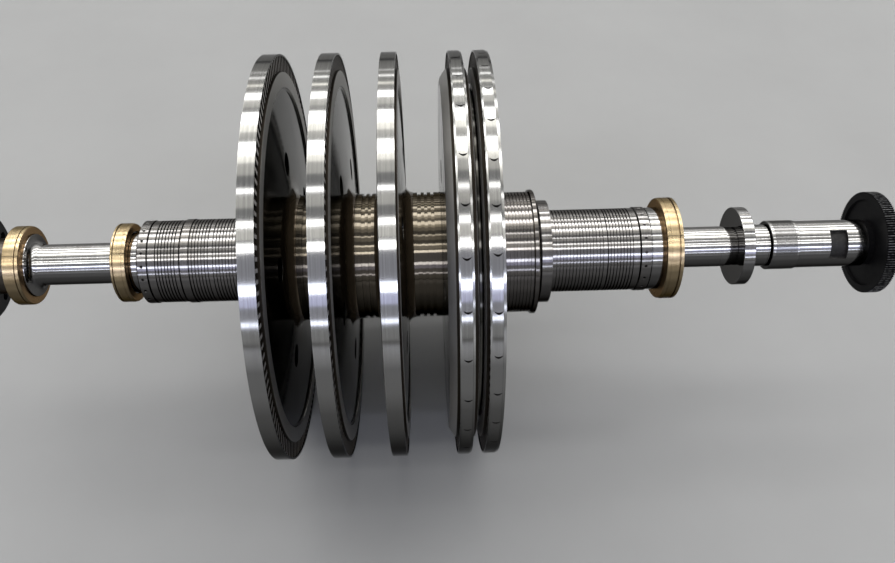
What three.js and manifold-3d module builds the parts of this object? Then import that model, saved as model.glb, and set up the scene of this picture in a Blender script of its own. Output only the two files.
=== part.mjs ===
// Steam turbine rotor: five bladed rows on four wheels, gland sleeves, oil slingers,
// a thrust collar, a coupling flange and a toothed wheel, all on one stepped shaft.
// Millimetres. The shaft runs along X, +Z is up, and the wheel rims rest on Z = 0.

import * as THREE from 'three';
import { mergeVertices } from 'three/addons/utils/BufferGeometryUtils.js';
import Module from 'manifold-3d';

const wasm = await Module();
wasm.setup();

// Driving dimensions
const WHEEL_RADIUS = 400;
const END_X = 926;
const SIDES = 32;
const SEAT = 0.3;

// Radii along the shaft
const JOURNAL_RADIUS = 41;
const SLINGER_SEAT_RADIUS = 63;
const SHOULDER_RADIUS = 59;
const THROAT_RADIUS = 60;
const BODY_RADIUS = 66;
const LAND_STEP_RADIUS = 80;
const RIGHT_STEP_RADIUS = 39;
const NECK_RADIUS = 37;
const STUB_RADIUS = 36;
const TIP_RADIUS = 28;

// Radii of the pieces on it
const GLAND_RADIUS = 83.4;
const RAISED_LAND_RADIUS = 84.6;
const RIGHT_RING_RADIUS = 85.4;
const DRUM_RADIUS = 127;
const RIGHT_DRUM_RADIUS = 122;
const RIGHT_DRUM_RING_RADIUS = 126;
const COLLAR_RADIUS = 103.7;
const COLLAR_NECK_RADIUS = 96;
const SLINGER_RADIUS = 79.3;
const LARGE_SLINGER_RADIUS = 102.9;
const THRUST_RADIUS = 79.3;
const LOCKING_RADIUS = 42.7;
const SLEEVE_LARGE_RADIUS = 49.9;
const SLEEVE_RADIUS = 47.8;
const TOOTHED_RADIUS = 103.5;
const TOOTHED_HUB_RADIUS = 46;

// Places along the shaft, from the coupling to the toothed wheel
const OUTER_SHOULDER_X = -780.5;
const LEFT_JOURNAL_X = -764;
const LEFT_JOURNAL_END_X = -622;
const THROAT_X = -584;
const LEFT_RING_X = -558.7;
const LEFT_GLAND_X = -538;
const LEFT_GLAND_SPLIT_X = -475.5;
const RAISED_LAND_END_X = -459;
const RIGHT_DRUM_RING_X = 207;
const RIGHT_DRUM_END_X = 216.7;
const COLLAR_X = 220.7;
const COLLAR_END_X = 244;
const RIGHT_GLAND_SPLIT_X = 355;
const RIGHT_RING_X = 418.5;
const RIGHT_RING_END_X = 441.3;
const RIGHT_LAND_X = 443;
const RIGHT_JOURNAL_X = 516;
const RIGHT_JOURNAL_END_X = 606.5;
const RIGHT_STEP_END_X = 622.5;
const THRUST_X = 625.5;
const THRUST_END_X = 648.6;
const LOCKING_END_X = 691.5;
const FRONT_SLEEVE_X = 694;
const FRONT_SLEEVE_STEP_X = 749.5;
const FRONT_SLEEVE_END_X = 889;
const TOOTHED_X = 898;
const TOOTHED_END_X = 922;

// Oil slingers, each with one groove between a wide and a narrow land
const OUTER_SLINGER = { left: -815.7, right: -785, grooveLeft: -793.2, grooveRight: -791.3 };
const INNER_SLINGER = { left: -610.3, right: -580.8, grooveLeft: -605.8, grooveRight: -603.6 };
const LARGE_SLINGER = { left: 466.5, right: 500, grooveLeft: 489.7, grooveRight: 493 };
const SLINGER_GROOVE_DEPTH = 4;
const SLINGER_CHAMFER = 1.5;
const LARGE_SHOULDER_INSET = 3;

// Bladed rows: left edge, width and right-hand bevel of each shroud band
const BAND_WIDTH = 28;
const CONTROL_BAND_WIDTH = 21;
const ROWS = [
  { left: -296, width: BAND_WIDTH, bevel: 0 },
  { left: -186, width: BAND_WIDTH, bevel: 0 },
  { left: -74, width: BAND_WIDTH, bevel: 0 },
  { left: 51, width: CONTROL_BAND_WIDTH, bevel: 4 },
  { left: 100, width: CONTROL_BAND_WIDTH, bevel: 5 },
];
const BAND_THICKNESS = 4;
const BEVEL_EDGE = 0.5;
const BLADE_HEIGHT = 28;
const BLADE_INSET = 2;
const BAND_BORE = WHEEL_RADIUS - BAND_THICKNESS;
const RIM_RADIUS = BAND_BORE - SEAT - BLADE_HEIGHT - SEAT;

// Single-row wheels, measured each way from the middle of the row
const RIM_HALF = 17;
const RIM_DEPTH = 30;
const RIM_ROUND = 1;
const WEB_HALF_AT_RIM = 13;
const WEB_HALF_AT_HUB = 22;
const WEB_CORNER = 4;
const WEB_HUB_RADIUS = 142;
const HUB_HALF = 37;

// Two-row control wheel
const CONTROL_HUB_LEFT = 31;
const CONTROL_HUB_RIGHT = 143;
const CONTROL_CONE_X = 36;
const CONTROL_CONE_RADIUS = 350;
const CONTROL_RIM_LEFT = 47;
const CONTROL_RIM_RIGHT = 128;
const CONTROL_RIGHT_RECESS = 5;
const ROW_GAP_LEFT = 85;
const ROW_GAP_RIGHT = 95;
const ROW_GAP_DEPTH = 40;
const ROW_GAP_CORNER = 3;

// Steam balance holes through the wheel webs, in degrees above the front for the first one
const HOLE_CIRCLE_RADIUS = 198;
const HOLE_RADIUS = 23;
const HOLE_COUNT = 5;
const HOLE_SIDES = 12;
const FIRST_HOLE_ANGLES = [111, 157, 131];
const CONTROL_HOLE_ANGLE = 97;

// Coupling
const COUPLING_FACE_X = -END_X;
const COUPLING_RADIUS = 110;
const COUPLING_FLANGE = 48;
const COUPLING_HUB_RADIUS = 56;
const COUPLING_END_X = -817;
const COUPLING_BORE = 46;
const COUPLING_FILLET = 10;
const SHAFT_END_INSET = 4;
const BOLT_CIRCLE_RADIUS = 88;
const BOLT_HOLE_RADIUS = 9;
const BOLT_COUNT = 8;

// Window in the front sleeve, in degrees above the front
const WINDOW_X = 828.5;
const WINDOW_LENGTH = 33;
const WINDOW_WIDTH = 56;
const WINDOW_FLOOR_RADIUS = 39.3;
const WINDOW_ANGLE = 41;

// Toothed wheel: a raised rim around a recessed face, on a short hub
const TOOTHED_RIM = 15;
const TOOTHED_RECESS = 5;

// Materials, from the photograph
const steel = { color: 0xb9b7b3, roughness: 0.25, metalness: 1.0 };
const wheelSteel = { color: 0xa09e9a, roughness: 0.2, metalness: 1.0 };
const bladeSteel = { color: 0x6e6a66, roughness: 0.45, metalness: 1.0 };
const glandSteel = { color: 0x9a9a9c, roughness: 0.4, metalness: 1.0 };
const oiledSteel = { color: 0x5b5145, roughness: 0.45, metalness: 1.0 };
const bronze = { color: 0xb98a4e, roughness: 0.3, metalness: 1.0 };
const blackOxide = { color: 0x2a2b2d, roughness: 0.6, metalness: 0.6 };

const rotor = new THREE.Group();
rotor.position.z = WHEEL_RADIUS;

function addMesh(name, geometry, look) {
  const mesh = new THREE.Mesh(geometry, new THREE.MeshStandardMaterial(look));
  mesh.name = name;
  rotor.add(mesh);
}

// A body turned about the shaft line. The profile is a list of [x, radius] pairs with x growing
// along the outside; a radius is measured to the flats, and one flat faces straight down.
function turned(profile) {
  const toCorner = 1 / Math.cos(Math.PI / SIDES);
  const points = profile.map(([x, radius]) => new THREE.Vector2(radius * toCorner, x));
  const geometry = new THREE.LatheGeometry(points, SIDES, Math.PI / SIDES);
  geometry.rotateZ(-Math.PI / 2);
  return geometry;
}

// A solid of revolution: the outside profile is closed to the axis at both ends.
function turnedSolid(outside) {
  const first = outside[0];
  const last = outside[outside.length - 1];
  return turned([[first[0], 0], ...outside, [last[0], 0]]);
}

// A ring or sleeve: the outside profile is closed along a plain bore.
function turnedRing(outside, bore) {
  const first = outside[0];
  const last = outside[outside.length - 1];
  return turned([[first[0], bore], ...outside, [last[0], bore], [first[0], bore]]);
}

// A quarter-round hollow corner from [x0, r0] to [x1, r1] in two straight steps. It leaves the
// first point along the shaft when alongFirst is true, and across the shaft when it is false.
function fillet(x0, r0, x1, r1, alongFirst) {
  const steps = 2;
  const points = [];
  for (let i = 0; i <= steps; i += 1) {
    const angle = (Math.PI / 2) * (i / steps);
    const along = alongFirst ? Math.sin(angle) : 1 - Math.cos(angle);
    const across = alongFirst ? 1 - Math.cos(angle) : Math.sin(angle);
    points.push([x0 + (x1 - x0) * along, r0 + (r1 - r0) * across]);
  }
  return points;
}

// The outside profile of a shape that is the same on both sides of its middle, from its right half.
function mirrored(middle, rightHalf) {
  const right = rightHalf.map(([x, radius]) => [middle + x, radius]);
  const left = rightHalf.map(([x, radius]) => [middle - x, radius]).reverse();
  return [...left, ...right];
}

function toManifold(geometry) {
  const bare = geometry.clone();
  bare.deleteAttribute('normal');
  bare.deleteAttribute('uv');
  const merged = mergeVertices(bare, 1e-3);
  const index = merged.index.array;
  const corners = [];
  for (let i = 0; i < index.length; i += 3) {
    const [a, b, c] = [index[i], index[i + 1], index[i + 2]];
    if (a !== b && b !== c && c !== a) {
      corners.push(a, b, c);
    }
  }
  const mesh = new wasm.Mesh({
    numProp: 3,
    vertProperties: new Float32Array(merged.attributes.position.array),
    triVerts: new Uint32Array(corners),
  });
  return new wasm.Manifold(mesh);
}

function cut(geometry, tools) {
  let solid = toManifold(geometry);
  for (const tool of tools) {
    solid = solid.subtract(toManifold(tool));
  }
  const mesh = solid.getMesh();
  const result = new THREE.BufferGeometry();
  result.setAttribute('position', new THREE.BufferAttribute(mesh.vertProperties, 3));
  result.setIndex(new THREE.BufferAttribute(mesh.triVerts, 1));
  result.computeVertexNormals();
  return result;
}

// Round cutting tools on a circle about the shaft, lying along it
function holeTools(middleX, length, circleRadius, radius, count, firstDegrees) {
  const tools = [];
  for (let i = 0; i < count; i += 1) {
    const angle = THREE.MathUtils.degToRad(firstDegrees) + (2 * Math.PI * i) / count;
    const tool = new THREE.CylinderGeometry(radius, radius, length, HOLE_SIDES);
    tool.rotateZ(-Math.PI / 2);
    tool.translate(middleX, -circleRadius * Math.cos(angle), circleRadius * Math.sin(angle));
    tools.push(tool);
  }
  return tools;
}

function rowMiddle(row) {
  return row.left + row.width / 2;
}

// Shaft: one forging, with a shoulder behind each slinger and a step at each sleeve
function addShaft() {
  const couplingSeat = COUPLING_BORE - SEAT;
  const largeShoulderX = LARGE_SLINGER.right - LARGE_SHOULDER_INSET;
  const largeSeat = GLAND_RADIUS - 1;
  const outside = [
    [COUPLING_FACE_X + SHAFT_END_INSET, couplingSeat],
    [COUPLING_END_X + SEAT, couplingSeat],
    [COUPLING_END_X + SEAT, SLINGER_SEAT_RADIUS],
    [OUTER_SHOULDER_X - 2, SLINGER_SEAT_RADIUS],
    ...fillet(OUTER_SHOULDER_X, SLINGER_SEAT_RADIUS - 2, LEFT_JOURNAL_X, JOURNAL_RADIUS, false),
    ...fillet(LEFT_JOURNAL_END_X, JOURNAL_RADIUS, INNER_SLINGER.left, SHOULDER_RADIUS, true),
    [INNER_SLINGER.left, SLINGER_SEAT_RADIUS],
    [THROAT_X, SLINGER_SEAT_RADIUS],
    [THROAT_X, THROAT_RADIUS],
    [LEFT_RING_X - SEAT, THROAT_RADIUS],
    [LEFT_RING_X - SEAT, BODY_RADIUS],
    [RIGHT_RING_END_X + SEAT, BODY_RADIUS],
    [RIGHT_RING_END_X + SEAT, LAND_STEP_RADIUS],
    [RIGHT_LAND_X, LAND_STEP_RADIUS],
    [RIGHT_LAND_X, GLAND_RADIUS],
    [LARGE_SLINGER.left - SEAT, GLAND_RADIUS],
    [LARGE_SLINGER.left - SEAT, largeSeat],
    [largeShoulderX, largeSeat],
    ...fillet(largeShoulderX + 1, SHOULDER_RADIUS, RIGHT_JOURNAL_X, JOURNAL_RADIUS, false),
    [RIGHT_JOURNAL_END_X, JOURNAL_RADIUS],
    [RIGHT_JOURNAL_END_X, RIGHT_STEP_RADIUS],
    [RIGHT_STEP_END_X, RIGHT_STEP_RADIUS],
    [RIGHT_STEP_END_X, NECK_RADIUS],
    [FRONT_SLEEVE_END_X, NECK_RADIUS],
    [FRONT_SLEEVE_END_X, STUB_RADIUS],
    [TOOTHED_END_X, STUB_RADIUS],
    [TOOTHED_END_X, TIP_RADIUS],
    [END_X, TIP_RADIUS],
  ];
  addMesh('shaft', turnedSolid(outside), steel);
}

function addCoupling() {
  const flangeBack = COUPLING_FACE_X + COUPLING_FLANGE;
  const filletEnd = flangeBack + COUPLING_FILLET;
  const filletTop = COUPLING_HUB_RADIUS + COUPLING_FILLET;
  const outside = [
    [COUPLING_FACE_X, COUPLING_RADIUS],
    [flangeBack, COUPLING_RADIUS],
    ...fillet(flangeBack, filletTop, filletEnd, COUPLING_HUB_RADIUS, false),
    [COUPLING_END_X, COUPLING_HUB_RADIUS],
  ];
  const middle = COUPLING_FACE_X + COUPLING_FLANGE / 2;
  const holes = holeTools(middle, COUPLING_FLANGE * 2, BOLT_CIRCLE_RADIUS, BOLT_HOLE_RADIUS, BOLT_COUNT, 0);
  addMesh('coupling_flange', cut(turnedRing(outside, COUPLING_BORE), holes), blackOxide);
}

function addSlinger(name, place, radius, seatRadius) {
  const { left, right, grooveLeft, grooveRight } = place;
  const grooveFloor = radius - SLINGER_GROOVE_DEPTH;
  const outside = [
    [left, radius - SLINGER_CHAMFER],
    [left + SLINGER_CHAMFER, radius],
    [grooveLeft, radius],
    [grooveLeft, grooveFloor],
    [grooveRight, grooveFloor],
    [grooveRight, radius],
    [right - SLINGER_CHAMFER, radius],
    [right, radius - SLINGER_CHAMFER],
  ];
  addMesh(name, turnedRing(outside, seatRadius + SEAT), bronze);
}

// A sleeve on the body of the shaft, from its outside profile
function addSleeve(name, outside, look) {
  addMesh(name, turnedRing(outside, BODY_RADIUS + SEAT), look);
}

// Gland sleeves, solid to the tips of their sealing fins
function addGlands() {
  const firstHubLeft = rowMiddle(ROWS[0]) - HUB_HALF;
  const outerTip = GLAND_RADIUS - 1;
  addSleeve('left_balance_ring', [[LEFT_RING_X, GLAND_RADIUS], [LEFT_GLAND_X, GLAND_RADIUS]], glandSteel);
  addSleeve('left_outer_gland_sleeve', [
    [LEFT_GLAND_X + SEAT, outerTip],
    [LEFT_GLAND_SPLIT_X, outerTip],
  ], glandSteel);
  addSleeve('left_inner_gland_sleeve', [
    [LEFT_GLAND_SPLIT_X + SEAT, RAISED_LAND_RADIUS],
    [RAISED_LAND_END_X, RAISED_LAND_RADIUS],
    [RAISED_LAND_END_X, GLAND_RADIUS],
    [firstHubLeft - SEAT, GLAND_RADIUS],
  ], glandSteel);
  for (let i = 0; i < 3; i += 1) {
    const left = rowMiddle(ROWS[i]) + HUB_HALF + SEAT;
    const nextHub = i < 2 ? rowMiddle(ROWS[i + 1]) - HUB_HALF : CONTROL_HUB_LEFT;
    const outside = [[left, DRUM_RADIUS - 1], [nextHub - SEAT, DRUM_RADIUS - 1]];
    addSleeve(`interstage_gland_${i + 1}`, outside, oiledSteel);
  }
  addSleeve('right_gland_drum', [
    [CONTROL_HUB_RIGHT + SEAT, RIGHT_DRUM_RADIUS],
    [RIGHT_DRUM_RING_X, RIGHT_DRUM_RADIUS],
    [RIGHT_DRUM_RING_X, RIGHT_DRUM_RING_RADIUS],
    [RIGHT_DRUM_END_X, RIGHT_DRUM_RING_RADIUS],
  ], oiledSteel);
  addSleeve('right_collar', [
    [RIGHT_DRUM_END_X + SEAT, COLLAR_NECK_RADIUS],
    [COLLAR_X, COLLAR_NECK_RADIUS],
    [COLLAR_X, COLLAR_RADIUS],
    [COLLAR_END_X, COLLAR_RADIUS],
  ], glandSteel);
  addSleeve('right_inner_gland_sleeve', [
    [COLLAR_END_X + SEAT, GLAND_RADIUS],
    [RIGHT_GLAND_SPLIT_X, GLAND_RADIUS],
  ], glandSteel);
  addSleeve('right_outer_gland_sleeve', [
    [RIGHT_GLAND_SPLIT_X + SEAT, GLAND_RADIUS],
    [RIGHT_RING_X, GLAND_RADIUS],
  ], glandSteel);
  addSleeve('right_balance_ring', [
    [RIGHT_RING_X + SEAT, RIGHT_RING_RADIUS],
    [RIGHT_RING_END_X, RIGHT_RING_RADIUS],
  ], glandSteel);
}

function addWheel(index, row) {
  const middle = rowMiddle(row);
  const rimFoot = RIM_RADIUS - RIM_DEPTH;
  const rightHalf = [
    [RIM_HALF - RIM_ROUND, RIM_RADIUS],
    [RIM_HALF, RIM_RADIUS - RIM_ROUND],
    [RIM_HALF, rimFoot],
    [WEB_HALF_AT_RIM, rimFoot - WEB_CORNER],
    [WEB_HALF_AT_HUB, WEB_HUB_RADIUS + WEB_CORNER],
    ...fillet(WEB_HALF_AT_HUB + 1, WEB_HUB_RADIUS, HUB_HALF, DRUM_RADIUS, false),
  ];
  const wheel = turnedRing(mirrored(middle, rightHalf), BODY_RADIUS + SEAT);
  const first = FIRST_HOLE_ANGLES[index];
  const holes = holeTools(middle, HUB_HALF * 2, HOLE_CIRCLE_RADIUS, HOLE_RADIUS, HOLE_COUNT, first);
  addMesh(`wheel_${index + 1}`, cut(wheel, holes), wheelSteel);
}

// The wide wheel that carries the two control rows, with a groove between them
function addControlWheel() {
  const rimFoot = RIM_RADIUS - RIM_DEPTH;
  const gapFloor = RIM_RADIUS - ROW_GAP_DEPTH;
  const rightWeb = CONTROL_RIM_RIGHT - CONTROL_RIGHT_RECESS;
  const outside = [
    [CONTROL_HUB_LEFT, DRUM_RADIUS],
    [CONTROL_HUB_LEFT + 1, WEB_HUB_RADIUS],
    [CONTROL_CONE_X - 1, CONTROL_CONE_RADIUS - WEB_CORNER],
    [CONTROL_CONE_X, CONTROL_CONE_RADIUS],
    [CONTROL_RIM_LEFT, RIM_RADIUS - RIM_ROUND],
    [CONTROL_RIM_LEFT + RIM_ROUND, RIM_RADIUS],
    [ROW_GAP_LEFT - ROW_GAP_CORNER, RIM_RADIUS],
    [ROW_GAP_LEFT, RIM_RADIUS - ROW_GAP_CORNER],
    [ROW_GAP_LEFT + 1, gapFloor],
    [ROW_GAP_RIGHT - 1, gapFloor],
    [ROW_GAP_RIGHT, RIM_RADIUS - ROW_GAP_CORNER],
    [ROW_GAP_RIGHT + 2, RIM_RADIUS],
    [CONTROL_RIM_RIGHT - RIM_ROUND, RIM_RADIUS],
    [CONTROL_RIM_RIGHT, RIM_RADIUS - RIM_ROUND],
    [CONTROL_RIM_RIGHT, rimFoot],
    [rightWeb, rimFoot - WEB_CORNER],
    [rightWeb + 3, WEB_HUB_RADIUS + WEB_CORNER],
    ...fillet(rightWeb + 4, WEB_HUB_RADIUS, CONTROL_HUB_RIGHT, DRUM_RADIUS, false),
  ];
  const wheel = turnedRing(outside, BODY_RADIUS + SEAT);
  const middle = (CONTROL_HUB_LEFT + CONTROL_HUB_RIGHT) / 2;
  const length = 2 * (CONTROL_HUB_RIGHT - CONTROL_HUB_LEFT);
  const holes = holeTools(middle, length, HOLE_CIRCLE_RADIUS, HOLE_RADIUS, HOLE_COUNT, CONTROL_HOLE_ANGLE);
  addMesh('control_wheel', cut(wheel, holes), wheelSteel);
}

function addBladeRow(index, row) {
  const left = row.left + BLADE_INSET;
  const right = row.left + row.width + row.bevel - BLADE_INSET;
  const tip = BAND_BORE - SEAT;
  addMesh(`blade_row_${index + 1}`, turnedRing([[left, tip], [right, tip]], RIM_RADIUS + SEAT), bladeSteel);
}

function addShroudBand(index, row) {
  const right = row.left + row.width;
  const outside = [[row.left, WHEEL_RADIUS], [right, WHEEL_RADIUS]];
  if (row.bevel > 0) {
    outside.push([right + row.bevel, BAND_BORE + BEVEL_EDGE]);
  }
  addMesh(`shroud_band_${index + 1}`, turnedRing(outside, BAND_BORE), steel);
}

function addThrustCollar() {
  const bore = NECK_RADIUS + SEAT;
  const thrust = [
    [THRUST_X, THRUST_RADIUS - 1],
    [THRUST_X + 1, THRUST_RADIUS],
    [THRUST_END_X - 1, THRUST_RADIUS],
    [THRUST_END_X, THRUST_RADIUS - 1],
  ];
  const locking = [[THRUST_END_X + SEAT, LOCKING_RADIUS], [LOCKING_END_X, LOCKING_RADIUS]];
  addMesh('thrust_collar', turnedRing(thrust, bore), steel);
  addMesh('locking_collar', turnedRing(locking, bore), steel);
}

function addFrontSleeve() {
  const bore = NECK_RADIUS + SEAT;
  const outside = [
    [FRONT_SLEEVE_X, SLEEVE_LARGE_RADIUS - 1.5],
    [FRONT_SLEEVE_X + 1.5, SLEEVE_LARGE_RADIUS],
    [FRONT_SLEEVE_STEP_X, SLEEVE_LARGE_RADIUS],
    [FRONT_SLEEVE_STEP_X, SLEEVE_RADIUS],
    [FRONT_SLEEVE_END_X, SLEEVE_RADIUS],
  ];
  const height = 2 * (SLEEVE_RADIUS - WINDOW_FLOOR_RADIUS);
  const window = new THREE.BoxGeometry(WINDOW_LENGTH, WINDOW_WIDTH, height);
  window.translate(WINDOW_X, 0, WINDOW_FLOOR_RADIUS + height / 2);
  window.rotateX(THREE.MathUtils.degToRad(90 - WINDOW_ANGLE));
  addMesh('front_sleeve', cut(turnedRing(outside, bore), [window]), steel);
}

function addToothedWheel() {
  const face = TOOTHED_X + TOOTHED_RECESS;
  const rimInside = TOOTHED_RADIUS - TOOTHED_RIM;
  const outside = [
    [FRONT_SLEEVE_END_X + SEAT, TOOTHED_HUB_RADIUS],
    [face, TOOTHED_HUB_RADIUS],
    [face, rimInside - 2],
    [TOOTHED_X, rimInside],
    [TOOTHED_X, TOOTHED_RADIUS],
    [TOOTHED_END_X - SEAT, TOOTHED_RADIUS],
  ];
  addMesh('toothed_wheel', turnedRing(outside, STUB_RADIUS + SEAT), blackOxide);
}

addShaft();
addCoupling();
addSlinger('left_outer_oil_slinger', OUTER_SLINGER, SLINGER_RADIUS, SLINGER_SEAT_RADIUS);
addSlinger('left_inner_oil_slinger', INNER_SLINGER, SLINGER_RADIUS, SLINGER_SEAT_RADIUS);
addSlinger('right_oil_slinger', LARGE_SLINGER, LARGE_SLINGER_RADIUS, GLAND_RADIUS - 1);
addGlands();
ROWS.slice(0, 3).forEach((row, index) => addWheel(index, row));
addControlWheel();
ROWS.forEach((row, index) => addBladeRow(index, row));
ROWS.forEach((row, index) => addShroudBand(index, row));
addThrustCollar();
addFrontSleeve();
addToothedWheel();

export default rotor;
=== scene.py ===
# %% [markdown]
# # A steam turbine rotor in polished steel
# A turbine rotor is one long forged shaft that carries bladed wheels, finned seal sleeves and bearing
# journals. The construction comes from a CAD frame with plain, many-sided solids. This lesson gives each
# of them its looks: smooth turned skins, real blades, sealing fins, holes and teeth, and a finish for
# every surface. Everything is in metres, in the same place as the frame.

# %% Load the frame
import math

import bmesh
import bpy
from mathutils import Matrix, Vector


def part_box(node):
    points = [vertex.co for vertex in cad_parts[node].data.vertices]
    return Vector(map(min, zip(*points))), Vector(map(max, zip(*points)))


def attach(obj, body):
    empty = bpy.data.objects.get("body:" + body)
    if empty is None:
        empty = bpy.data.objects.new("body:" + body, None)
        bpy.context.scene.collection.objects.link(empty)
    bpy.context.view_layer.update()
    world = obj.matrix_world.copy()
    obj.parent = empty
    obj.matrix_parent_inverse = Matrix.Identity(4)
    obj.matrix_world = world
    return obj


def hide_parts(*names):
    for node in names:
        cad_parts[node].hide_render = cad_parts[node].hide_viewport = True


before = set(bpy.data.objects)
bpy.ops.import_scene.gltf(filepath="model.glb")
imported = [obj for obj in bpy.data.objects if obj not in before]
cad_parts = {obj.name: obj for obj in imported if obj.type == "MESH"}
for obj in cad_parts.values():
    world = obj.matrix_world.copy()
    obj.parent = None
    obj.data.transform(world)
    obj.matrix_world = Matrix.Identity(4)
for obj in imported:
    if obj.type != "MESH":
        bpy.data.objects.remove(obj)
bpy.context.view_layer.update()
print("frame nodes", len(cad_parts))

# %% [markdown]
# ## Measuring on the frame
# A lathe drawing gives lengths along the shaft and radii from its middle line, in millimetres. The frame
# can be asked for each piece's box, so the skins below start from its numbers and can't drift from it.
# A helper that returns a piece's two ends and its radius is all that a turned part needs.

# %% A ruler for turned pieces
MM = 0.001
low_corner, high_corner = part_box("shroud_band_1")
axis_height = (low_corner.z + high_corner.z) / 2


def span(node_name):
    """Left end, right end and radius of a node of the frame, in millimetres."""
    low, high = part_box(node_name)
    return low.x / MM, high.x / MM, (high.z - low.z) / 2 / MM


print("shaft line at height", round(axis_height, 4), "wheel radius", round(span("shroud_band_1")[2], 1))

# %% [markdown]
# ## The lathe
# Nearly every piece here was made on a lathe: a flat outline was swept round the shaft line. Blender has
# a Screw modifier for that, but a bmesh spin gives a finished mesh at once, which later steps can drill
# and bevel. The outline is a list of (place along the shaft, radius) points. A ring's outline closes on
# itself, and a solid's outline starts and ends on the shaft line.

# %% Turning an outline
def turned(outline, sides=128):
    """Sweeps an outline of (x, radius) points a full turn round the shaft line."""
    bm = bmesh.new()
    points = [bm.verts.new((x, 0, radius)) for x, radius in outline]
    chain = list(zip(points, points[1:]))
    if outline[0][1] > 0:
        chain.append((points[-1], points[0]))
    edges = [bm.edges.new(pair) for pair in chain]
    bmesh.ops.spin(bm, geom=points + edges, cent=(0, 0, 0), axis=(1, 0, 0), dvec=(0, 0, 0),
                   angle=math.tau, steps=sides, use_merge=True)
    bmesh.ops.remove_doubles(bm, verts=bm.verts, dist=0.001)
    bmesh.ops.recalc_face_normals(bm, faces=bm.faces)
    return bm


# %% [markdown]
# ## Broken edges
# A turned edge is never razor sharp: the turner breaks it with a file, and that tiny slope is what
# catches the light. The bevel operator cuts it on every corner that is sharper than a given angle. A
# width of a few tenths of a millimetre reads as metal, and a wider one reads as soap.

# %% Breaking the sharp edges
sharp_angle = math.radians(35)


def break_edges(bm, size):
    """Bevels every edge where two faces meet at more than the sharp angle."""
    corners = [e for e in bm.edges if e.is_manifold and e.calc_face_angle() > sharp_angle]
    bmesh.ops.bevel(bm, geom=corners, offset=size, offset_type="OFFSET", affect="EDGES", segments=2,
                    profile=0.5, material=-1, clamp_overlap=True)


# %% [markdown]
# ## From bmesh to a finished piece
# Each piece is shaped in millimetres round the X axis, because that is how a drawing reads. The last
# step scales it to metres and lifts it to the height of the shaft line. Its object stays at the origin.
# Faces are shaded smooth, and edges over the crisp angle stay sharp. On a mirror finish a narrow bevel
# would bend the light of the long face beside it. The Weighted Normal modifier lets the large faces
# decide, so they stay flat and straight. Then the piece rides on the frame's one body and takes the
# place of the node that it stands for.

# %% Finishing a piece
triangles_made = 0


def finished(bm, name, finishes, replaces, crisp=30):
    """Turns a bmesh in millimetres into a shaded object in metres that stands for frame nodes."""
    global triangles_made
    bmesh.ops.scale(bm, vec=(MM, MM, MM), verts=bm.verts)
    bmesh.ops.translate(bm, vec=(0, 0, axis_height), verts=bm.verts)
    for face in bm.faces:
        face.smooth = True
    for edge in bm.edges:
        edge.smooth = edge.is_manifold and edge.calc_face_angle() < math.radians(crisp)
    triangles = sum(len(face.verts) - 2 for face in bm.faces)
    triangles_made += triangles
    mesh = bpy.data.meshes.new(name)
    bm.to_mesh(mesh)
    bm.free()
    for finish in finishes:
        mesh.materials.append(finish)
    piece = bpy.data.objects.new(name, mesh)
    bpy.context.scene.collection.objects.link(piece)
    even = piece.modifiers.new("even_shading", "WEIGHTED_NORMAL")
    even.weight = 90
    even.keep_sharp = True
    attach(piece, "root")
    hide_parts(*replaces)
    print(name, "triangles", triangles)


def turned_piece(node_name, name, outline, finish, sides=128, bevel=None):
    """A piece that only has to be turned, with its edges broken, in place of one node."""
    skin = turned(outline, sides)
    if bevel:
        break_edges(skin, bevel)
    finished(skin, name, [finish], [node_name])


# %% [markdown]
# ## Round corners in an outline
# Where a shaft steps from one radius to another, the inside corner is a smooth quarter-round, because a
# sharp one would crack. A short formula gives its points. The first point of the corner is left either
# along the shaft or straight across it.

# %% Hollow corners and straight runs
def hollow(start, end, along_first, steps=8):
    """Points of a hollow quarter-round from start to end, each an (x, radius) pair."""
    points = []
    for i in range(steps + 1):
        angle = math.pi / 2 * i / steps
        far, near = math.sin(angle), 1 - math.cos(angle)
        along, across = (far, near) if along_first else (near, far)
        points.append((start[0] + (end[0] - start[0]) * along, start[1] + (end[1] - start[1]) * across))
    return points


def straight(start, end, steps):
    """Points from start towards end in equal steps, without the end itself."""
    return [(start[0] + (end[0] - start[0]) * i / steps, start[1] + (end[1] - start[1]) * i / steps)
            for i in range(steps)]


# %% [markdown]
# ## Wiring a material
# A material is a tree of nodes. A handful of helpers makes a node with its settings, links its inputs
# and does sums on sockets, so that each finish below reads as a short recipe.

# %% Nodes and links
def new_finish(name):
    """A material and its empty node tree."""
    finish = bpy.data.materials.new(name)
    finish.use_nodes = True
    finish.node_tree.nodes.clear()
    return finish, finish.node_tree


def node(tree, kind, settings=None, values=None):
    """A shader node with its settings and the values of its sockets."""
    made = tree.nodes.new(kind)
    for key, value in (settings or {}).items():
        setattr(made, key, value)
    for key, value in (values or {}).items():
        made.inputs[key].default_value = value
    return made


def wire(tree, target, sources):
    """Links sockets to the named inputs of a node."""
    for name, source in sources.items():
        tree.links.new(source, target.inputs[name])


def to_output(tree, shader):
    """Makes a shader the surface of the material."""
    wire(tree, node(tree, "ShaderNodeOutputMaterial"), {"Surface": shader.outputs[0]})


# %% [markdown]
# ## Sums, ramps and blends
# A pattern is a number from 0 to 1 at every point. A ramp stretches the useful part of it, a blend mixes
# two colours by it, and sums join two patterns. Each helper returns a socket, so they nest like plain
# arithmetic.

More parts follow.
